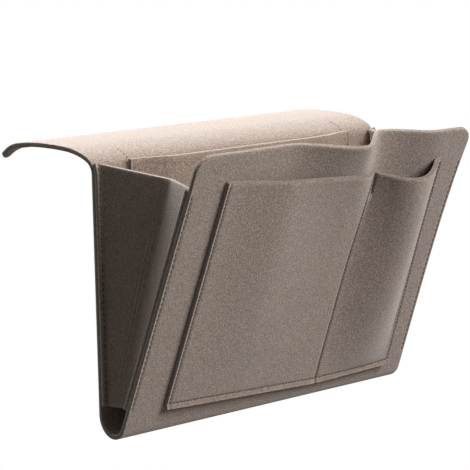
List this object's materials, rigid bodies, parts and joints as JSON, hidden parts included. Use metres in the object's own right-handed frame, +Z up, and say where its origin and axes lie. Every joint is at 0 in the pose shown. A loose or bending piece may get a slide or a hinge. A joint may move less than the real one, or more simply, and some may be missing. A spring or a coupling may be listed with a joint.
{
  "type": "bedside caddy",
  "caption": "Felt bedside caddy: a flap tucks under the mattress, and a slanted front with folding side gussets makes a deep compartment with an inner pocket and divided outer pockets.",
  "frame": {"origin": "middle of the back panel's flat rear face, which lies against the side of the bed", "axes": "+X along the side of the bed, to the right as seen from the front; +Y towards the bed; +Z up"},
  "size_m": [0.3214, 0.2953, 0.2519],
  "materials": {
    "felt": "matte mottled wool felt"
  },
  "bodies": {
    "back": {"back_panel": "felt", "inner_pocket": "felt", "gusset_left": "felt", "gusset_right": "felt"},
    "flap": {"mattress_flap": "felt"},
    "front": {"front_panel": "felt", "outer_pocket": "felt"}
  },
  "joints": [
    {"name": "flap_fold", "type": "hinge", "parent": "back", "child": "flap", "pos_m": [0, 0.004, 0.11239], "axis": [1, 0, 0], "range_deg": [-80, 85], "stiffness_Nm_per_rad": 0.8, "springref_deg": 2.29},
    {"name": "front_fold", "type": "hinge", "parent": "back", "child": "front", "pos_m": [0, -0.018, -0.118], "axis": [-1, 0, 0], "range_deg": [0, 22], "deforming": ["gusset_left", "gusset_right"]}
  ]
}
